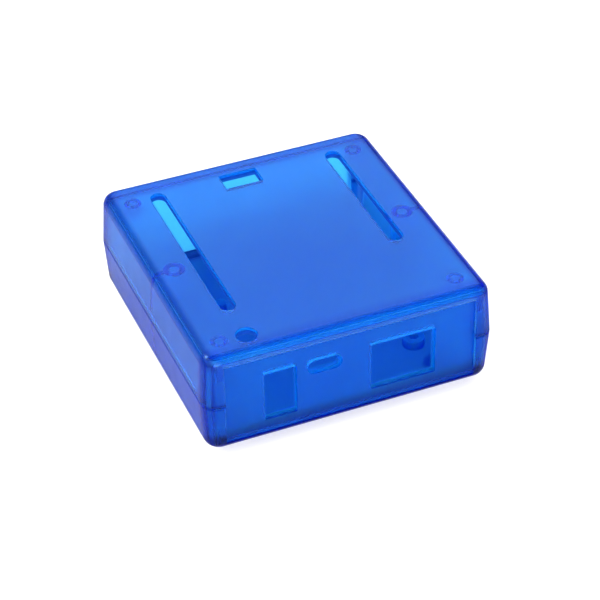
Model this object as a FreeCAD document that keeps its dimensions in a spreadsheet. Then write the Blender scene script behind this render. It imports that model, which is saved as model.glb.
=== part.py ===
"""Two-shell plastic enclosure for a small single board computer, with separate end panels.

The case is modelled in millimetres, +Z up. The front end, with the connector openings, faces -Y.
The origin is the middle of the footprint on the surface that the four feet stand on.
Every sub-part is drawn from the underside of the base (its own z = 0) and is lifted by the
height of the feet in its Placement.
"""
import FreeCAD, Part
import math
import os
import Sketcher

FLAT_ROOM = 0.01          # tolerance for finding faces and edges, in millimetres
OVERSHOOT = 5.0           # how far a cutter runs past the wall that it cuts

DIMENSIONS = [
    # outer form: both shells are widest at the parting plane and taper away from it
    ("case_width", 75.2),
    ("case_depth", 78.4),
    ("shell_height", 13.9),
    ("corner_radius", 4.0),
    ("draft_angle", 3.2),
    ("top_edge_radius", 3.0),
    ("bottom_edge_radius", 3.2),
    ("rim_edge_radius", 0.25),
    # walls
    ("side_wall", 2.0),
    ("plate", 2.0),
    ("end_skin", 1.2),
    ("inner_radius", 1.2),
    ("root_depth", 0.5),
    # tongue on the base that locates the cover
    ("tongue_thickness", 0.9),
    ("tongue_height", 1.0),
    ("tongue_length", 62.0),
    ("tongue_play", 0.15),
    # end panels and the grooves that hold them
    ("panel_width", 68.0),
    ("panel_thickness", 2.4),
    ("panel_play", 0.1),
    ("panel_bottom", 2.1),
    ("panel_top", 25.6),
    ("end_opening_width", 65.0),
    ("base_lip_height", 2.0),
    ("cover_lip_height", 2.8),
    ("rib_thickness", 0.8),
    ("side_rib_start", 32.2),
    ("floor_rib_height", 2.2),
    ("lid_rib_height", 1.6),
    # connector openings in the front panel
    ("opening_top", 19.5),
    ("tall_centre", -18.15),
    ("tall_width", 8.3),
    ("tall_bottom", 5.6),
    ("oval_centre", -6.8),
    ("oval_width", 9.0),
    ("oval_height", 3.9),
    ("wide_centre", 13.65),
    ("wide_width", 16.9),
    ("wide_bottom", 6.0),
    ("opening_radius", 0.4),
    # openings in the cover
    ("row_spacing", 48.26),
    ("slot_width", 3.8),
    ("slot_rear", 31.0),
    ("long_slot_front", -21.6),
    ("short_slot_front", -11.8),
    ("window_centre_x", -1.65),
    ("window_centre_y", 28.95),
    ("window_width", 9.9),
    ("window_depth", 5.8),
    ("reset_y", -31.9),
    ("reset_radius", 2.6),
    ("opening_edge", 0.3),
    # screw bosses
    ("boss_x", 30.5),
    ("cover_boss_radius", 2.75),
    ("cover_pilot_radius", 1.3),
    ("cover_pilot_depth", 11.9),
    ("base_boss_radius", 3.7),
    ("boss_gap", 0.1),
    ("counterbore_radius", 3.0),
    ("counterbore_depth", 7.5),
    ("clearance_radius", 1.55),
    ("gusset_thickness", 1.5),
    # short hollow pillars under the corners of the cover
    ("pillar_x", 30.5),
    ("pillar_y", 30.6),
    ("pillar_radius", 2.2),
    ("pillar_bore", 1.1),
    ("pillar_length", 4.0),
    # board posts: positions are counted from the connector edge of the board
    ("board_front", -35.5),
    ("board_width", 53.34),
    ("post_radius", 2.8),
    ("post_top", 4.4),
    ("post_pilot_radius", 1.2),
    ("post_pilot_depth", 3.4),
    ("rest_pin_x", 14.9),
    ("rest_pin_y", 11.0),
    ("rest_pin_radius", 1.4),
    # screws
    ("head_radius", 2.7),
    ("head_height", 2.0),
    ("head_edge", 0.8),
    ("shank_radius", 1.25),
    ("shank_length", 12.0),
    ("tip_length", 1.5),
    ("tip_radius", 0.5),
    ("recess_width", 0.7),
    ("recess_length", 2.8),
    ("recess_depth", 1.2),
    # feet
    ("foot_height", 2.0),
    ("foot_radius", 4.0),
    ("foot_edge", 0.6),
    ("foot_x", 27.5),
    ("foot_y", 29.5),
]

# board fixing holes: name, distance from the connector edge, distance from the power edge
BOARD_HOLES = [
    ("front_right", 13.97, 2.54),
    ("front_left", 15.24, 50.80),
    ("rear_right", 66.04, 7.62),
    ("rear_left", 66.04, 35.56),
]

ENDS = (("front", -1), ("rear", 1))
SIDES = (("left", -1), ("right", 1))

doc = FreeCAD.newDocument("enclosure")


# ---------------------------------------------------------------- spreadsheet
def make_sheet():
    """One row per driving dimension: name, value, and the value's alias."""
    sheet = doc.addObject("Spreadsheet::Sheet", "Size")
    for row, (alias, value) in enumerate(DIMENSIONS, start=1):
        sheet.set(f"A{row}", alias)
        sheet.set(f"B{row}", str(value))
        sheet.setAlias(f"B{row}", alias)
    doc.recompute()
    return sheet


SHEET = make_sheet()


def size(alias):
    """The number that the sheet holds under this alias."""
    return float(SHEET.get(alias))


# ---------------------------------------------------------------- primitives
def bind(obj, **expressions):
    """Bind properties to expressions; at_x, at_y and at_z are the placement."""
    for name, expression in expressions.items():
        path = name
        if name.startswith("at_"):
            path = "Placement.Base." + name[3:]
        obj.setExpression(path, str(expression))
    return obj


def box(name, low, high):
    """A box between two corners, each given as three expressions."""
    solid = doc.addObject("Part::Box", name)
    bind(solid, at_x=low[0], at_y=low[1], at_z=low[2])
    bind(
        solid,
        Length=f"({high[0]}) - ({low[0]})",
        Width=f"({high[1]}) - ({low[1]})",
        Height=f"({high[2]}) - ({low[2]})",
    )
    return solid


def mirrored_span(sign, near, far):
    """The low and high ends of a span that lies on one side of the middle plane."""
    ends = (f"({near}) * {sign}", f"({far}) * {sign}")
    if sign > 0:
        return ends
    return ends[1], ends[0]


def cylinder(name, x, y, low, high, radius):
    """An upright cylinder between two heights."""
    solid = doc.addObject("Part::Cylinder", name)
    return bind(solid, Radius=radius, Height=f"({high}) - ({low})", at_x=x, at_y=y, at_z=low)


def fuse(name, shapes):
    """One solid from several."""
    union = doc.addObject("Part::MultiFuse", name)
    union.Shapes = shapes
    union.Refine = True
    return union


def cut(name, base, tools):
    """The base less all the tools."""
    result = doc.addObject("Part::Cut", name)
    result.Base = base
    result.Tool = fuse(name + "_cutters", tools) if len(tools) > 1 else tools[0]
    result.Refine = True
    return result


def round_edges(name, base, radius, wanted):
    """Fillet the edges of base for which wanted(edge) is true."""
    doc.recompute()
    result = doc.addObject("Part::Fillet", name)
    result.Base = base
    edges = enumerate(base.Shape.Edges, start=1)
    result.Edges = [(number, radius, radius) for number, edge in edges if wanted(edge)]
    return result


def lies_at(edge, height):
    """True for an edge that lies in the horizontal plane at this height."""
    bounds = edge.BoundBox
    return abs(bounds.ZMin - height) < FLAT_ROOM and abs(bounds.ZMax - height) < FLAT_ROOM


# ---------------------------------------------------------------- shell blanks
def origin_plane(body, role):
    """The body's own origin plane with this role."""
    return next(plane for plane in body.Origin.OriginFeatures if plane.Role == role)


def rounded_rectangle(body, name, height, half_x, half_y, radius, numbers):
    """A centred rounded rectangle in a horizontal plane, bound to the sheet.

    height, half_x, half_y and radius are expressions; numbers holds half_x, half_y and radius
    as plain values, where the drawing starts before its constraints are solved.
    """
    sketch = body.newObject("Sketcher::SketchObject", name)
    sketch.AttachmentSupport = [(origin_plane(body, "XY_Plane"), "")]
    sketch.MapMode = "FlatFace"
    sketch.setExpression("AttachmentOffset.Base.z", height)
    hx, hy, r = numbers
    corners = [(1, 1, 0), (-1, 1, 90), (-1, -1, 180), (1, -1, 270)]
    up = FreeCAD.Vector(0, 0, 1)
    for sign_x, sign_y, start in corners:
        centre = FreeCAD.Vector(sign_x * (hx - r), sign_y * (hy - r), 0)
        arc_of = Part.Circle(centre, up, r)
        angles = (math.radians(start), math.radians(start + 90))
        sketch.addGeometry(Part.ArcOfCircle(arc_of, *angles), False)
    ends = []
    for arc in range(4):
        following = (arc + 1) % 4
        first = sketch.Geometry[arc].EndPoint
        last = sketch.Geometry[following].StartPoint
        ends.append(sketch.addGeometry(Part.LineSegment(first, last), False))
    for arc, line in enumerate(ends):
        following = (arc + 1) % 4
        sketch.addConstraint(Sketcher.Constraint("Tangent", arc, 2, line, 1))
        sketch.addConstraint(Sketcher.Constraint("Tangent", line, 2, following, 1))
    for arc in range(1, 4):
        sketch.addConstraint(Sketcher.Constraint("Equal", 0, arc))
    sketch.addConstraint(Sketcher.Constraint("Horizontal", ends[0]))
    sketch.addConstraint(Sketcher.Constraint("Vertical", ends[1]))
    sketch.addConstraint(Sketcher.Constraint("Symmetric", 0, 3, 2, 3, -1, 1))
    named = [
        ("radius", Sketcher.Constraint("Radius", 0, r), radius),
        ("reach_x", Sketcher.Constraint("DistanceX", -1, 1, 0, 1, hx), half_x),
        ("reach_y", Sketcher.Constraint("DistanceY", -1, 1, 0, 2, hy), half_y),
    ]
    for label, constraint, expression in named:
        index = sketch.addConstraint(constraint)
        sketch.renameConstraint(index, label)
        sketch.setExpression(f"Constraints.{label}", expression)
    return sketch


def loft(body, kind, name, first, second):
    """A straight-sided loft between two sketches."""
    feature = body.newObject(kind, name)
    feature.Profile = first
    feature.Sections = [second]
    feature.Ruled = True
    first.Visibility = False
    second.Visibility = False
    return feature


def taper_at(distance):
    """How far a wall has leaned in, this far from the parting plane."""
    return math.tan(math.radians(size("draft_angle"))) * distance


def shell_blank(name, outward, edge_radius_alias):
    """A hollow half shell, open at the parting plane, as a Body.

    outward is 1 for the cover, whose plate is above the parting plane, and -1 for the base.
    """
    body = doc.addObject("PartDesign::Body", name)
    parting = "Size.shell_height"
    plate_face = "Size.shell_height * 2" if outward > 0 else "0"
    inside = f"{plate_face} - ({outward}) * Size.plate"
    lean = "tan(Size.draft_angle) * Size.shell_height"
    inner_lean = "tan(Size.draft_angle) * (Size.shell_height - Size.plate)"

    half_x, half_y = size("case_width") / 2, size("case_depth") / 2
    radius, inner_radius = size("corner_radius"), size("inner_radius")
    lean_number = taper_at(size("shell_height"))
    rim = rounded_rectangle(
        body, name + "_rim", parting, "Size.case_width / 2", "Size.case_depth / 2",
        "Size.corner_radius", (half_x, half_y, radius),
    )
    face = rounded_rectangle(
        body, name + "_face", plate_face, f"Size.case_width / 2 - {lean}",
        f"Size.case_depth / 2 - {lean}", "Size.corner_radius",
        (half_x - lean_number, half_y - lean_number, radius),
    )
    lower, upper = (rim, face) if outward < 0 else (face, rim)
    outer = loft(body, "PartDesign::AdditiveLoft", name + "_outer", lower, upper)
    doc.recompute()

    face_height = size("shell_height") * (1 + outward)
    rounding = body.newObject("PartDesign::Fillet", name + "_rounding")
    rounding.Base = (outer, edge_names(outer, face_height))
    rounding.setExpression("Radius", "Size." + edge_radius_alias)
    doc.recompute()
    softening = body.newObject("PartDesign::Fillet", name + "_rim_softening")
    softening.Base = (rounding, edge_names(rounding, size("shell_height")))
    softening.setExpression("Radius", "Size.rim_edge_radius")
    doc.recompute()

    cavity_x = size("case_width") / 2 - size("side_wall")
    cavity_y = size("case_depth") / 2 - size("end_skin")
    inner_number = taper_at(size("shell_height") - size("plate"))
    mouth = rounded_rectangle(
        body, name + "_mouth", parting, "Size.case_width / 2 - Size.side_wall",
        "Size.case_depth / 2 - Size.end_skin", "Size.inner_radius",
        (cavity_x, cavity_y, inner_radius),
    )
    floor = rounded_rectangle(
        body, name + "_floor", inside, f"Size.case_width / 2 - Size.side_wall - {inner_lean}",
        "Size.case_depth / 2 - Size.end_skin", "Size.inner_radius",
        (cavity_x - inner_number, cavity_y, inner_radius),
    )
    loft(body, "PartDesign::SubtractiveLoft", name + "_cavity", mouth, floor)
    doc.recompute()
    return body


def edge_names(feature, height):
    """The names of a feature's edges that lie at this height."""
    edges = enumerate(feature.Shape.Edges, start=1)
    return [f"Edge{number}" for number, edge in edges if lies_at(edge, height)]


# ---------------------------------------------------------------- shared places
GROOVE_OUTER = "Size.case_depth / 2 - Size.end_skin"
PANEL_OUTER = f"{GROOVE_OUTER} - Size.panel_play"
PANEL_INNER = f"{PANEL_OUTER} - Size.panel_thickness"
RIB_OUTER = f"{PANEL_INNER} - Size.panel_play"
RIB_INNER = f"{RIB_OUTER} - Size.rib_thickness"
CAVITY_X = "Size.case_width / 2 - Size.side_wall"
CASE_TOP = "Size.shell_height * 2"
LID_UNDERSIDE = f"{CASE_TOP} - Size.plate"
LEAN_INSIDE = "tan(Size.draft_angle) * (Size.shell_height - Size.plate)"
WALL_FOOT = f"{CAVITY_X} - {LEAN_INSIDE}"
WALL_REACH = f"{WALL_FOOT} + Size.side_wall / 2"
FLOOR_ROOT = "Size.plate - Size.root_depth"
LID_ROOT = f"{LID_UNDERSIDE} + Size.root_depth"


def end_opening(name, low, high):
    """Two cutters that open the front and rear ends between two heights."""
    tools = []
    for end, sign in ENDS:
        y_low, y_high = mirrored_span(sign, GROOVE_OUTER, f"{GROOVE_OUTER} + {OVERSHOOT}")
        x = "Size.end_opening_width / 2"
        tools.append(box(f"{name}_{end}", (f"-{x}", y_low, low), (x, y_high, high)))
    return tools


def groove_ribs(name, low, high, across_low, across_high):
    """The ribs behind each end panel: one across the plate and one up each side wall."""
    ribs = []
    for end, end_sign in ENDS:
        y_low, y_high = mirrored_span(end_sign, RIB_INNER, RIB_OUTER)
        across = box(
            f"{name}_{end}_across",
            (f"-({WALL_FOOT})", y_low, across_low),
            (WALL_FOOT, y_high, across_high),
        )
        ribs.append(across)
        for side, side_sign in SIDES:
            x_low, x_high = mirrored_span(side_sign, "Size.side_rib_start", WALL_REACH)
            ribs.append(box(f"{name}_{end}_{side}", (x_low, y_low, low), (x_high, y_high, high)))
    return ribs


# ---------------------------------------------------------------- base shell
def make_base():
    """The lower shell: floor, walls, grooves, screw bosses, board posts and tongue."""
    blank = shell_blank("base_blank", -1, "bottom_edge_radius")
    rim = "Size.shell_height"
    added = [blank]
    added += groove_ribs("base_rib", FLOOR_ROOT, rim, FLOOR_ROOT,
                         "Size.plate + Size.floor_rib_height")
    cutters = end_opening("base_end", "Size.base_lip_height", f"{rim} + {OVERSHOOT}")

    for side, sign in SIDES:
        x = f"Size.boss_x * {sign}"
        boss_top = f"{rim} - Size.boss_gap"
        added.append(cylinder(f"base_boss_{side}", x, "0", FLOOR_ROOT, boss_top,
                              "Size.base_boss_radius"))
        x_low, x_high = mirrored_span(sign, "Size.boss_x", WALL_REACH)
        y = "Size.gusset_thickness / 2"
        added.append(box(f"base_gusset_{side}", (x_low, f"-{y}", FLOOR_ROOT),
                         (x_high, y, f"{boss_top} - Size.tongue_height")))
        cutters.append(cylinder(f"base_counterbore_{side}", x, "0", f"-{OVERSHOOT}",
                                "Size.counterbore_depth", "Size.counterbore_radius"))
        cutters.append(cylinder(f"base_clearance_{side}", x, "0", f"-{OVERSHOOT}",
                                f"{rim} + {OVERSHOOT}", "Size.clearance_radius"))
        x_low, x_high = mirrored_span(sign, CAVITY_X, f"{CAVITY_X} + Size.tongue_thickness")
        y = "Size.tongue_length / 2"
        added.append(box(f"base_tongue_{side}", (x_low, f"-{y}", f"{rim} - Size.plate"),
                         (x_high, y, f"{rim} + Size.tongue_height")))
        added.append(cylinder(f"rest_pin_{side}", f"Size.rest_pin_x * {sign}", "Size.rest_pin_y",
                              FLOOR_ROOT, "Size.post_top", "Size.rest_pin_radius"))

    for name, from_front, from_side in BOARD_HOLES:
        x = f"Size.board_width / 2 - {from_side}"
        y = f"Size.board_front + {from_front}"
        added.append(cylinder(f"post_{name}", x, y, FLOOR_ROOT, "Size.post_top",
                              "Size.post_radius"))
        cutters.append(cylinder(f"post_pilot_{name}", x, y,
                                "Size.post_top - Size.post_pilot_depth",
                                f"Size.post_top + {OVERSHOOT}", "Size.post_pilot_radius"))

    solid = fuse("base_solid", added)
    shell = cut("base_shell", solid, cutters)
    return finish(shell, "base_shell")


# ---------------------------------------------------------------- top cover
def slot_cutter(name, x, front):
    """A header slot: a straight run with a round end at each end."""
    low, high = f"{LID_UNDERSIDE} - {OVERSHOOT}", f"{CASE_TOP} + {OVERSHOOT}"
    half = "Size.slot_width / 2"
    front_centre, rear_centre = f"{front} + {half}", f"Size.slot_rear - {half}"
    run = box(name + "_run", (f"{x} - {half}", front_centre, low),
              (f"{x} + {half}", rear_centre, high))
    ends = [
        cylinder(name + "_front", x, front_centre, low, high, half),
        cylinder(name + "_rear", x, rear_centre, low, high, half),
    ]
    return fuse(name, [run] + ends)


def make_cover():
    """The upper shell: plate, walls, grooves, blind screw bosses, pillars and openings."""
    blank = shell_blank("cover_blank", 1, "top_edge_radius")
    rim = "Size.shell_height"
    added = [blank]
    added += groove_ribs("cover_rib", rim, LID_ROOT,
                         f"{LID_UNDERSIDE} - Size.lid_rib_height", LID_ROOT)
    cutters = end_opening("cover_end", f"{rim} - {OVERSHOOT}",
                          f"{CASE_TOP} - Size.cover_lip_height")

    for side, sign in SIDES:
        x = f"Size.boss_x * {sign}"
        added.append(cylinder(f"cover_boss_{side}", x, "0", rim, LID_ROOT,
                              "Size.cover_boss_radius"))
        x_low, x_high = mirrored_span(sign, "Size.boss_x", WALL_REACH)
        y = "Size.gusset_thickness / 2"
        gusset_low = f"{rim} + 2 * Size.tongue_height"
        added.append(box(f"cover_gusset_{side}", (x_low, f"-{y}", gusset_low),
                         (x_high, y, LID_ROOT)))
        cutters.append(cylinder(f"cover_pilot_{side}", x, "0", f"{rim} - {OVERSHOOT}",
                                f"{rim} + Size.cover_pilot_depth", "Size.cover_pilot_radius"))
        play = "Size.tongue_play"
        x_low, x_high = mirrored_span(sign, f"{CAVITY_X} - {play}",
                                      f"{CAVITY_X} + Size.tongue_thickness + {play}")
        y = f"Size.tongue_length / 2 + {play}"
        cutters.append(box(f"cover_rebate_{side}", (x_low, f"-({y})", f"{rim} - {OVERSHOOT}"),
                           (x_high, y, f"{rim} + Size.tongue_height + {play}")))
        for end, end_sign in ENDS:
            place = (f"Size.pillar_x * {sign}", f"Size.pillar_y * {end_sign}")
            low = f"{LID_UNDERSIDE} - Size.pillar_length"
            added.append(cylinder(f"pillar_{end}_{side}", *place, low, LID_ROOT,
                                  "Size.pillar_radius"))
            cutters.append(cylinder(f"pillar_bore_{end}_{side}", *place, low, LID_UNDERSIDE,
                                    "Size.pillar_bore"))

    row = "Size.row_spacing / 2"
    cutters.append(slot_cutter("long_slot", f"-{row}", "Size.long_slot_front"))
    cutters.append(slot_cutter("short_slot", row, "Size.short_slot_front"))
    low, high = f"{LID_UNDERSIDE} - {OVERSHOOT}", f"{CASE_TOP} + {OVERSHOOT}"
    cutters.append(cylinder("reset_hole", f"-{row}", "Size.reset_y", low, high,
                            "Size.reset_radius"))
    window_x, window_y = "Size.window_centre_x", "Size.window_centre_y"
    cutters.append(box(
        "window",
        (f"{window_x} - Size.window_width / 2", f"{window_y} - Size.window_depth / 2", low),
        (f"{window_x} + Size.window_width / 2", f"{window_y} + Size.window_depth / 2", high),
    ))

    solid = fuse("cover_solid", added)
    pierced = cut("cover_pierced", solid, cutters)
    top = size("shell_height") * 2
    inner_limit = size("case_width") / 2 - size("side_wall") - size("top_edge_radius")

    def is_opening_rim(edge):
        return lies_at(edge, top) and abs(edge.CenterOfMass.x) < inner_limit and \
            abs(edge.CenterOfMass.y) < inner_limit

    shell = round_edges("top_cover", pierced, size("opening_edge"), is_opening_rim)
    return finish(shell, "top_cover")


# ---------------------------------------------------------------- end panels
def plain_panel(name, sign):
    """A flat plate that stands in the grooves at one end."""
    y_low, y_high = mirrored_span(sign, PANEL_INNER, PANEL_OUTER)
    return box(name, ("-Size.panel_width / 2", y_low, "Size.panel_bottom"),
               ("Size.panel_width / 2", y_high, "Size.panel_top"))


def upright_window(name, centre, width, bottom):
    """A rectangular opening with rounded corners through the front panel."""
    y_low, y_high = mirrored_span(-1, f"{PANEL_INNER} - {OVERSHOOT}", f"{PANEL_OUTER} + {OVERSHOOT}")
    plain = box(name + "_plain", (f"{centre} - {width} / 2", y_low, bottom),
                (f"{centre} + {width} / 2", y_high, "Size.opening_top"))
    return round_edges(name, plain, size("opening_radius"), runs_front_to_back)


def runs_front_to_back(edge):
    """True for a straight edge along Y."""
    bounds = edge.BoundBox
    return bounds.YLength > bounds.XLength + bounds.ZLength


def oval_window(name):
    """The small oval opening, rounded by half its height at each end."""
    y_low, y_high = mirrored_span(-1, f"{PANEL_INNER} - {OVERSHOOT}", f"{PANEL_OUTER} + {OVERSHOOT}")
    plain = box(
        name + "_plain",
        ("Size.oval_centre - Size.oval_width / 2", y_low, "Size.opening_top - Size.oval_height"),
        ("Size.oval_centre + Size.oval_width / 2", y_high, "Size.opening_top"),
    )
    radius = size("oval_height") / 2 - FLAT_ROOM
    return round_edges(name, plain, radius, runs_front_to_back)


def make_panels():
    """The pierced front panel and the plain rear panel."""
    openings = [
        upright_window("tall_window", "Size.tall_centre", "Size.tall_width", "Size.tall_bottom"),
        upright_window("wide_window", "Size.wide_centre", "Size.wide_width", "Size.wide_bottom"),
        oval_window("oval_window"),
    ]
    front = cut("front_panel", plain_panel("front_plate", -1), openings)
    rear = plain_panel("rear_panel", 1)
    return [finish(front, "front_panel"), finish(rear, "rear_panel", lifted=True)]


# ---------------------------------------------------------------- screws and feet
def make_screw(side, sign):
    """A pan head self-tapping screw, driven up from under the base."""
    name = f"cover_screw_{side}"
    x = f"Size.boss_x * {sign}"
    seat = "Size.counterbore_depth"
    tip = f"{seat} + Size.shank_length"
    head_low = f"{seat} - Size.head_height"
    head = cylinder(name + "_head", x, "0", head_low, seat, "Size.head_radius")
    head_face = size("counterbore_depth") - size("head_height")
    domed = round_edges(name + "_dome", head, size("head_edge"),
                        lambda edge: lies_at(edge, head_face))
    shank = cylinder(name + "_shank", x, "0", f"{seat} - Size.head_height / 2",
                     f"{tip} - Size.tip_length", "Size.shank_radius")
    point = doc.addObject("Part::Cone", name + "_point")
    bind(point, Radius1="Size.shank_radius", Radius2="Size.tip_radius", Height="Size.tip_length",
         at_x=x, at_y="0", at_z=f"{tip} - Size.tip_length")
    solid = fuse(name + "_solid", [domed, shank, point])
    long, short = "Size.recess_length / 2", "Size.recess_width / 2"
    low, high = f"{head_low} - {OVERSHOOT}", f"{head_low} + Size.recess_depth"
    recess = [
        box(name + "_slot_x", (f"{x} - {long}", f"-{short}", low), (f"{x} + {long}", short, high)),
        box(name + "_slot_y", (f"{x} - {short}", f"-{long}", low), (f"{x} + {short}", long, high)),
    ]
    return finish(cut(name, solid, recess), name)


def make_foot(end, end_sign, side, side_sign):
    """A round stick-on foot under one corner of the base."""
    name = f"foot_{end}_{side}"
    pad = cylinder(name + "_pad", f"Size.foot_x * {side_sign}", f"Size.foot_y * {end_sign}",
                   "-Size.foot_height", "0", "Size.foot_radius")
    ground = -size("foot_height")
    foot = round_edges(name, pad, size("foot_edge"), lambda edge: lies_at(edge, ground))
    return finish(foot, name)


# ---------------------------------------------------------------- output
def finish(part, label, lifted=False):
    """Name a sub-part and stand it on its feet."""
    part.Label = label
    height = "Size.panel_bottom + Size.foot_height" if lifted else "Size.foot_height"
    part.setExpression("Placement.Base.z", height)
    return part


def check(parts):
    """Stop if any object failed to recompute or any sub-part isn't one sound solid."""
    for obj in doc.Objects:
        if "Invalid" in obj.State or "Error" in obj.State:
            raise RuntimeError(f"{obj.Name} failed: {obj.State}")
    for part in parts:
        shape = part.Shape
        if shape.isNull() or not shape.isValid() or len(shape.Solids) != 1:
            raise RuntimeError(f"{part.Label} is not one valid solid")


def main():
    parts = [make_base(), make_cover()]
    parts += make_panels()
    for side, sign in SIDES:
        parts.append(make_screw(side, sign))
    for end, end_sign in ENDS:
        for side, side_sign in SIDES:
            parts.append(make_foot(end, end_sign, side, side_sign))
    doc.recompute()
    check(parts)
    os.makedirs("parts", exist_ok=True)
    for part in parts:
        part.Shape.exportStep(f"parts/{part.Label}.step")
        bounds = part.Shape.BoundBox
        print(f"{part.Label}: {part.Shape.Volume:.1f} mm3, "
              f"z {bounds.ZMin:.2f} to {bounds.ZMax:.2f}")


main()
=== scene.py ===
"""Looks for a translucent blue enclosure for a small single board computer."""

import math
import bpy
from mathutils import Euler, Matrix, Vector


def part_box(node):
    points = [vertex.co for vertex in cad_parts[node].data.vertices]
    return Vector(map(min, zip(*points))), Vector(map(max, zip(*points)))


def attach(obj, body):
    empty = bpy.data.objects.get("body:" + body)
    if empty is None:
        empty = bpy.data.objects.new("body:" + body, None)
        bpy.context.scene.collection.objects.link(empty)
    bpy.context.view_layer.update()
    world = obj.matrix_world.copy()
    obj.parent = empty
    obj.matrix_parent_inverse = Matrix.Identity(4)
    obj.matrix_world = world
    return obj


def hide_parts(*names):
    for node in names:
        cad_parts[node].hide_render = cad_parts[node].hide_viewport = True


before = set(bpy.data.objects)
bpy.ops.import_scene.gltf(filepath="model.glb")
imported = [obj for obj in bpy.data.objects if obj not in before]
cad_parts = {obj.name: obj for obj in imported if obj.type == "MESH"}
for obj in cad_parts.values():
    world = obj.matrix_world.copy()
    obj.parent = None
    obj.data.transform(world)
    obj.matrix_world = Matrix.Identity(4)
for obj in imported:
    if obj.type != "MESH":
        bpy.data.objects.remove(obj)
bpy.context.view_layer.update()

FEET = ("foot_front_left", "foot_front_right", "foot_rear_left", "foot_rear_right")

# places in the part's own frame, in metres
SIDE, END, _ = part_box("base_shell")[1]      # half the width and half the depth, at the parting line
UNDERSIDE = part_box("base_shell")[0][2]
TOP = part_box("top_cover")[1][2]
PARTING = (TOP + UNDERSIDE) / 2
PANEL_FACE = (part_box("rear_panel")[1][1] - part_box("front_panel")[0][1]) / 2
WALL_LEAN = math.tan(math.radians(3.2))     # the draft of the walls, away from the parting line
PLATE = 0.0021                              # a little more than the thickness of the cover's plate
ANYWHERE = 1.0                              # a size that no face reaches


# ---------------------------------------------------------------- node helpers
def new_material(name):
    """An empty material: its tree, its Principled shader and its output."""
    material = bpy.data.materials.new(name)
    material.use_nodes = True
    tree = material.node_tree
    tree.nodes.clear()
    output = tree.nodes.new("ShaderNodeOutputMaterial")
    shader = tree.nodes.new("ShaderNodeBsdfPrincipled")
    tree.links.new(shader.outputs["BSDF"], output.inputs["Surface"])
    return material, tree, shader, output


def noise(tree, scale, detail=4.0, stretch=(1, 1, 1)):
    """Noise in the object's own metres."""
    place = tree.nodes.new("ShaderNodeTexCoord")
    mapping = tree.nodes.new("ShaderNodeMapping")
    mapping.inputs["Scale"].default_value = stretch
    tree.links.new(place.outputs["Object"], mapping.inputs["Vector"])
    texture = tree.nodes.new("ShaderNodeTexNoise")
    texture.inputs["Scale"].default_value = scale
    texture.inputs["Detail"].default_value = detail
    texture.inputs["Roughness"].default_value = 0.55
    tree.links.new(mapping.outputs["Vector"], texture.inputs["Vector"])
    return texture.outputs["Fac"]


def ranged(tree, value, low, high, from_low=0.3, from_high=0.7):
    """value spread between low and high."""
    node = tree.nodes.new("ShaderNodeMapRange")
    node.inputs["From Min"].default_value = from_low
    node.inputs["From Max"].default_value = from_high
    node.inputs["To Min"].default_value = low
    node.inputs["To Max"].default_value = high
    tree.links.new(value, node.inputs["Value"])
    return node.outputs["Result"]


def ramp(tree, value, stops):
    """A colour ramp through two (position, colour) stops."""
    node = tree.nodes.new("ShaderNodeValToRGB")
    for element, (position, colour) in zip(node.color_ramp.elements, stops):
        element.position = position
        element.color = (*colour, 1.0)
    tree.links.new(value, node.inputs["Fac"])
    return node.outputs["Color"]


def bump(tree, height, strength, distance, normal=None):
    """A bump from a height, on top of another normal if given."""
    node = tree.nodes.new("ShaderNodeBump")
    node.inputs["Strength"].default_value = strength
    node.inputs["Distance"].default_value = distance
    tree.links.new(height, node.inputs["Height"])
    if normal is not None:
        tree.links.new(normal, node.inputs["Normal"])
    return node.outputs["Normal"]


def arithmetic(tree, operation, first, second):
    """One Math node; second is a number or a socket."""
    node = tree.nodes.new("ShaderNodeMath")
    node.operation = operation
    tree.links.new(first, node.inputs[0])
    if isinstance(second, (int, float)):
        node.inputs[1].default_value = second
    else:
        tree.links.new(second, node.inputs[1])
    return node.outputs[0]


def mixed(tree, factor, first, second):
    """Two shaders mixed by a number or a socket."""
    node = tree.nodes.new("ShaderNodeMixShader")
    if isinstance(factor, (int, float)):
        node.inputs["Fac"].default_value = factor
    else:
        tree.links.new(factor, node.inputs["Fac"])
    tree.links.new(first, node.inputs[1])
    tree.links.new(second, node.inputs[2])
    return node.outputs[0]


def folded_part(tree, output, axis):
    """The size, without its sign, of one part of the object's own coordinate or normal."""
    place = tree.nodes.new("ShaderNodeTexCoord")
    split = tree.nodes.new("ShaderNodeSeparateXYZ")
    tree.links.new(place.outputs[output], split.inputs[0])
    return arithmetic(tree, "ABSOLUTE", split.outputs[axis], 0.0)


# ---------------------------------------------------------------- painted shade: where the plastic is drawn darker
# Each painted shade: the planes that it lies near, as an axis and a level; within what distance of them it
# is full and where it ends, in metres; and the colour that multiplies the plastic's own to stand in for
# shade.
# painted shade: a dark line along the parting line, where cover meets base
SEAM_PAINTED_SHADE = ([("Z", PARTING)], 0.0002, 0.0009, (0.30, 0.26, 0.58))
# painted shade: the base darker towards its underside, all through its floor
UNDER_PAINTED_SHADE = ([("Z", UNDERSIDE)], 0.0020, 0.0048, (0.36, 0.40, 0.72))
# painted shade: the base's front and rear bottom edges darker, over the ledge below the panels
LEDGE_PAINTED_SHADE = ([("Y", END), ("Z", UNDERSIDE)], 0.0038, 0.0054, (0.62, 0.20, 0.42))
# painted shade: the front panel darker towards its foot
STEP_PAINTED_SHADE = ([("Z", UNDERSIDE)], 0.0016, 0.0046, (0.66, 0.58, 0.86))
# painted shade: the cover darker near its front and rear ends
COVER_END_PAINTED_SHADE = ([("Y", END)], 0.0050, 0.0065, (0.80, 0.78, 0.94))
# painted shade: the base darker near its front and rear ends
BASE_END_PAINTED_SHADE = ([("Y", END)], 0.0050, 0.0065, (0.85, 0.80, 0.94))
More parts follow.
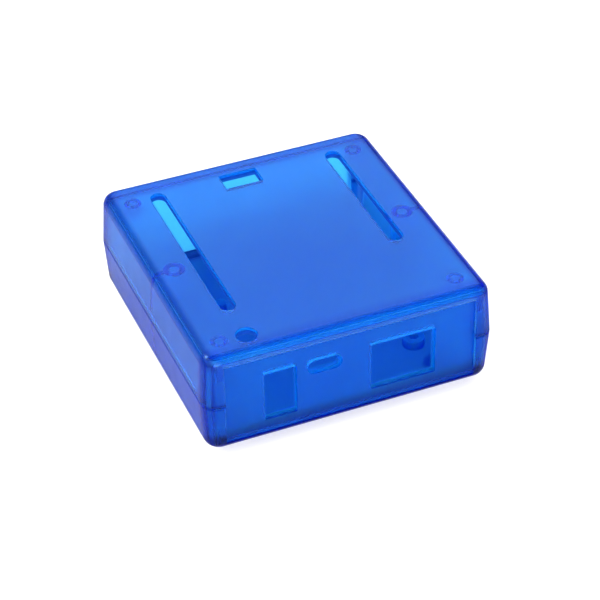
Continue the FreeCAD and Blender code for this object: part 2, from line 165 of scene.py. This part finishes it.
# painted shade: darker at the four upright corners
CORNER_PAINTED_SHADE = ([("X", SIDE), ("Y", END)], 0.0045, 0.0060, (0.80, 0.78, 0.98))
# painted shade: darker still on the rounded outer part of the corners
CURVE_PAINTED_SHADE = ([("X", SIDE + 0.0025), ("Y", END)], 0.0045, 0.0058, (0.90, 0.48, 0.74))
# painted shade: dark edges along the folds between the top and the sides
FOLD_PAINTED_SHADE = ([("X", SIDE), ("Z", TOP)], 0.0023, 0.0040, (0.87, 0.42, 0.64))
# the painted shades that the cover and the base each carry
COVER_PAINTED_SHADES = [SEAM_PAINTED_SHADE, COVER_END_PAINTED_SHADE, CORNER_PAINTED_SHADE, CURVE_PAINTED_SHADE, FOLD_PAINTED_SHADE]
BASE_PAINTED_SHADES = [SEAM_PAINTED_SHADE, UNDER_PAINTED_SHADE, BASE_END_PAINTED_SHADE, CURVE_PAINTED_SHADE, LEDGE_PAINTED_SHADE]

# Each painted shade on cut faces: the axis that the sheet lies across, the level that the sheet begins at,
# and the colour that multiplies the plastic's own on the faces cut through that sheet, to stand in for
# shade.
# painted shade on the walls of the panels' openings and on their edges
PANEL_CUT_PAINTED_SHADE = ("Y", 0.0, (0.40, 0.32, 0.82))
# painted shade on the walls of the openings through the cover's top plate
COVER_CUT_PAINTED_SHADE = ("Z", TOP - PLATE, (0.20, 0.10, 0.42))


def tinted(tree, colour, amount, tint):
    """The colour, multiplied by tint where amount is 0 and by nothing where it is 1."""
    product = tree.nodes.new("ShaderNodeVectorMath")
    product.operation = "MULTIPLY"
    tree.links.new(colour, product.inputs[0])
    tree.links.new(ramp(tree, amount, [(0.0, tint), (1.0, (1.0, 1.0, 1.0))]), product.inputs[1])
    return product.outputs[0]


def painted_shade_near_planes(tree, colour, planes, full, ended, tint):
    """The colour, darkened by painted shade within full of every plane and not beyond ended."""
    farthest = None
    for axis, level in planes:
        past = arithmetic(tree, "SUBTRACT", folded_part(tree, "Object", axis), level)
        distance = arithmetic(tree, "ABSOLUTE", past, 0.0)
        farthest = arithmetic(tree, "MAXIMUM", distance, farthest or 0.0)
    return tinted(tree, colour, ranged(tree, farthest, 0.0, 1.0, full, ended), tint)


def painted_shade_on_cut_faces(tree, colour, outer, axis, start, tint):
    """The colour, darkened by painted shade on inner faces that run along an axis, from start on."""
    across = ranged(tree, folded_part(tree, "Normal", axis), 0.0, 1.0, 0.3, 0.6)
    past = arithmetic(tree, "SUBTRACT", folded_part(tree, "Object", axis), start)
    elsewhere = arithmetic(tree, "LESS_THAN", past, 0.0)
    kept = arithmetic(tree, "MAXIMUM", across, elsewhere)
    return tinted(tree, colour, arithmetic(tree, "MAXIMUM", kept, outer), tint)


def outside(tree, half_size, skin):
    """1 on the outer faces of a leaning box of this half size, 0 on what lies inside them."""
    place = tree.nodes.new("ShaderNodeTexCoord")
    centred = tree.nodes.new("ShaderNodeVectorMath")
    centred.operation = "SUBTRACT"
    centred.inputs[1].default_value = (0, 0, PARTING)
    tree.links.new(place.outputs["Object"], centred.inputs[0])
    folded = tree.nodes.new("ShaderNodeVectorMath")
    folded.operation = "ABSOLUTE"
    tree.links.new(centred.outputs[0], folded.inputs[0])
    split = tree.nodes.new("ShaderNodeSeparateXYZ")
    tree.links.new(folded.outputs[0], split.inputs[0])
    lean = arithmetic(tree, "MULTIPLY", split.outputs["Z"], WALL_LEAN)
    beyond = arithmetic(tree, "SUBTRACT", split.outputs["Z"], half_size[2] - skin)
    for axis in (0, 1):
        upright = arithmetic(tree, "ADD", split.outputs[axis], lean)
        past = arithmetic(tree, "SUBTRACT", upright, half_size[axis] - skin)
        beyond = arithmetic(tree, "MAXIMUM", beyond, past)
    return arithmetic(tree, "GREATER_THAN", beyond, 0.0)


# ---------------------------------------------------------------- materials
SHELL = {"half_size": (SIDE, END, (TOP - UNDERSIDE) / 2), "skin": 0.0008, "smooth": 0.24, "frosted": 0.62}
PANEL = {"half_size": (ANYWHERE, PANEL_FACE, ANYWHERE), "skin": 0.0012, "smooth": 0.23, "frosted": 0.55}

CLEAR_BLUE = (900.0, (0.0, 0.775, 0.997))   # a density, and the colour that passes
# painted shade: the rear panel's blue is a darker copy of the front panel's, with denser absorption
REAR_SHADED_BLUE = (1050.0, (0.0, 0.765, 0.998))
DEEP_BLUE = (1400.0, (0.0, 0.77, 0.998))
SOFT_GLOSS = (0.26, 0.68, 1.0, 1.0)
DEEP_GLOSS = (0.12, 0.45, 1.0, 1.0)
CLEAR_LOW, CLEAR_HIGH = (0.90, 0.96, 1.0), (0.95, 0.98, 1.0)
MILK_LOW, MILK_HIGH = (0.008, 0.67, 0.99), (0.016, 0.77, 1.0)
MILK_OUTSIDE = 0.015
PLASTIC_IOR = 1.49


def blue_plastic(name, form, milk, absorption, gloss, painted_shade_marks=(), cuts=None):
    """Translucent plastic, fairly smooth outside and frosted inside; a milky share scatters blue."""
    material, tree, shader, output = new_material(name)
    outer = outside(tree, form["half_size"], form["skin"])
    cloud = noise(tree, 45.0, 3.0)

    # painted shade, laid over the clear colour and, further down, over the milky colour
    def add_painted_shade(colour):
        for tint in painted_shade_marks:
            colour = painted_shade_near_planes(tree, colour, *tint)
        if cuts:
            colour = painted_shade_on_cut_faces(tree, colour, outer, *cuts)
        return colour

    clear = ramp(tree, cloud, [(0.3, CLEAR_LOW), (0.7, CLEAR_HIGH)])
    tree.links.new(add_painted_shade(clear), shader.inputs["Base Color"])
    shader.distribution = "MULTI_GGX"
    shader.inputs["Transmission Weight"].default_value = 1.0
    shader.inputs["IOR"].default_value = PLASTIC_IOR
    shader.inputs["Specular Tint"].default_value = gloss

    haze = noise(tree, 160.0, 5.0)
    rough = tree.nodes.new("ShaderNodeMix")
    tree.links.new(outer, rough.inputs["Factor"])
    tree.links.new(ranged(tree, haze, form["frosted"] - 0.05, form["frosted"] + 0.05), rough.inputs["A"])
    tree.links.new(ranged(tree, haze, form["smooth"] - 0.03, form["smooth"] + 0.03), rough.inputs["B"])
    tree.links.new(rough.outputs["Result"], shader.inputs["Roughness"])
    fine = bump(tree, noise(tree, 1500.0, 1.0), 0.05, 0.00002)
    wave = bump(tree, noise(tree, 60.0, 2.0), 0.2, 0.0002, fine)
    tree.links.new(wave, shader.inputs["Normal"])

    body = add_painted_shade(ramp(tree, cloud, [(0.3, MILK_LOW), (0.7, MILK_HIGH)]))
    through = tree.nodes.new("ShaderNodeBsdfTranslucent")
    front = tree.nodes.new("ShaderNodeBsdfDiffuse")
    for scatter in (through, front):
        tree.links.new(body, scatter.inputs["Color"])
        tree.links.new(wave, scatter.inputs["Normal"])
    scattered = mixed(tree, 0.5, through.outputs[0], front.outputs[0])
    share = ranged(tree, outer, milk, MILK_OUTSIDE, 0.0, 1.0)
    tree.links.new(mixed(tree, share, shader.outputs[0], scattered), output.inputs["Surface"])

    density, passing = absorption
    absorb = tree.nodes.new("ShaderNodeVolumeAbsorption")
    absorb.inputs["Color"].default_value = (*passing, 1.0)
    absorb.inputs["Density"].default_value = density
    tree.links.new(absorb.outputs["Volume"], output.inputs["Volume"])
    return material


def screw_steel():
    """Bright steel with fine streaks across the shank."""
    material, tree, shader, _ = new_material("screw_steel")
    streak = noise(tree, 900.0, 5.0, stretch=(1, 1, 0.15))
    colour = ramp(tree, streak, [(0.3, (0.42, 0.43, 0.45)), (0.7, (0.66, 0.67, 0.69))])
    tree.links.new(colour, shader.inputs["Base Color"])
    shader.inputs["Metallic"].default_value = 1.0
    tree.links.new(ranged(tree, streak, 0.24, 0.42), shader.inputs["Roughness"])
    tree.links.new(bump(tree, streak, 0.3, 0.00003), shader.inputs["Normal"])
    return material


def foot_rubber():
    """Pale soft plastic with a fine grain."""
    material, tree, shader, _ = new_material("foot_rubber")
    cloud = noise(tree, 250.0, 4.0)
    colour = ramp(tree, cloud, [(0.3, (0.74, 0.76, 0.8)), (0.7, (0.86, 0.88, 0.9))])
    tree.links.new(colour, shader.inputs["Base Color"])
    shader.inputs["IOR"].default_value = 1.45
    tree.links.new(ranged(tree, cloud, 0.28, 0.45), shader.inputs["Roughness"])
    tree.links.new(bump(tree, noise(tree, 1800.0, 3.0), 0.3, 0.00004), shader.inputs["Normal"])
    return material


# ---------------------------------------------------------------- pieces
GAP = 0.00003


def drawn_in(name, body):
    """A copy of a sub-part a hair smaller, so that its faces don't coincide with what it touches."""
    low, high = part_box(name)
    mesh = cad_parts[name].data.copy()
    middle = [(a + b) / 2 for a, b in zip(low, high)]
    scale = [1 - 2 * GAP / (b - a) for a, b in zip(low, high)]
    for vertex in mesh.vertices:
        vertex.co = [m + (c - m) * k for m, c, k in zip(middle, vertex.co, scale)]
    piece = bpy.data.objects.new(name + "_drawn_in", mesh)
    bpy.context.scene.collection.objects.link(piece)
    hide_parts(name)
    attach(piece, body)
    return piece


def paint(piece, material):
    """Give a piece one material all over."""
    piece.data.materials.clear()
    piece.data.materials.append(material)


def make_pieces():
    """Paint the shells and panels, and make and paint the drawn-in copies."""
    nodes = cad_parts
    paint(nodes["base_shell"], blue_plastic("base_plastic", SHELL, 0.11, DEEP_BLUE, DEEP_GLOSS, BASE_PAINTED_SHADES))
    paint(nodes["front_panel"],
          blue_plastic("front_plastic", PANEL, 0.27, CLEAR_BLUE, SOFT_GLOSS, [STEP_PAINTED_SHADE], PANEL_CUT_PAINTED_SHADE))
    # painted shade: the rear panel is the same plastic as the front, given less milk and the denser blue
    paint(nodes["rear_panel"],
          blue_plastic("rear_plastic_shaded", PANEL, 0.14, REAR_SHADED_BLUE, SOFT_GLOSS, cuts=PANEL_CUT_PAINTED_SHADE))
    paint(drawn_in("top_cover", "cover"),
          blue_plastic("cover_plastic", SHELL, 0.23, CLEAR_BLUE, SOFT_GLOSS, COVER_PAINTED_SHADES, COVER_CUT_PAINTED_SHADE))
    steel = screw_steel()
    for side in ("left", "right"):
        paint(drawn_in("cover_screw_" + side, side + "_screw"), steel)
    rubber = foot_rubber()
    for foot in FEET:
        paint(drawn_in(foot, "base"), rubber)


# ---------------------------------------------------------------- studio
def seen_directly(tree, direct, mirrored):
    """A strength for most rays, and a lower one for what the plastic's faces mirror."""
    path = tree.nodes.new("ShaderNodeLightPath")
    reflected = arithmetic(tree, "SUBTRACT", path.outputs["Is Glossy Ray"],
                           path.outputs["Is Transmission Ray"])
    return ranged(tree, reflected, direct, mirrored, 0.0, 1.0)


def make_floor(pale, glow):
    """A pale floor that glows, as on a light table, so that shadows stay faint."""
    bpy.ops.mesh.primitive_plane_add(size=6.0, location=(0, 0, 0))
    floor = bpy.context.object
    floor.name = "studio_floor"
    material, tree, shader, _ = new_material("studio_floor")
    tree.links.new(seen_directly(tree, *pale), shader.inputs["Base Color"])
    shader.inputs["Roughness"].default_value = 0.9
    shader.inputs["Emission Color"].default_value = (1.0, 1.0, 1.0, 1.0)
    tree.links.new(seen_directly(tree, *glow), shader.inputs["Emission Strength"])
    floor.data.materials.append(material)


def make_world(strength):
    """Even white light from all round."""
    world = bpy.data.worlds.new("studio")
    world.use_nodes = True
    tree = world.node_tree
    background = tree.nodes["Background"]
    background.inputs["Color"].default_value = (1.0, 1.0, 1.0, 1.0)
    tree.links.new(seen_directly(tree, *strength), background.inputs["Strength"])
    bpy.context.scene.world = world


def area_light(name, position, target, size, power):
    """A round white lamp that faces a target."""
    light = bpy.data.lights.new(name, "AREA")
    light.shape = "DISK"
    light.size = size
    light.energy = power
    lamp = bpy.data.objects.new(name, light)
    lamp.location = position
    lamp.rotation_mode = "QUATERNION"
    lamp.rotation_quaternion = (Vector(target) - Vector(position)).to_track_quat("-Z", "Y")
    bpy.context.scene.collection.objects.link(lamp)


def make_camera(position, turn, lens):
    """The camera, turned by degrees about X, Y and Z from looking straight down."""
    data = bpy.data.cameras.new("camera")
    data.sensor_width = 36.0
    data.lens = lens
    data.clip_start = 0.01
    data.clip_end = 20.0
    camera = bpy.data.objects.new("camera", data)
    rotation = Euler([math.radians(angle) for angle in turn])
    camera.matrix_world = Matrix.Translation(position) @ rotation.to_matrix().to_4x4()
    bpy.context.scene.collection.objects.link(camera)
    bpy.context.scene.camera = camera


make_pieces()
make_floor(pale=(0.5, 0.2), glow=(0.48, 0.15))
make_world(strength=(1.46, 0.12))
area_light("key_left", (-0.9, -0.2, 0.7), (0, 0, 0.01), 0.7, 4.0)
area_light("top_back", (-1.2, 0.9, 1.4), (0, 0, 0.01), 0.9, 21.0)
area_light("front_fill", (-0.3, -1.3, 0.5), (0, 0, 0.01), 1.0, 18.0)
area_light("top_sheen", (0.3, 0.75, 0.95), (0, 0, 0.03), 1.2, 4.0)
make_camera(position=(-0.15965, -0.39988, 0.33913), turn=(52.606, 0.791, -22.669), lens=128.63)

scene = bpy.context.scene
scene.view_settings.view_transform = "Standard"
scene.cycles.max_bounces = 24
scene.cycles.transmission_bounces = 24
scene.cycles.glossy_bounces = 8
scene.cycles.diffuse_bounces = 4
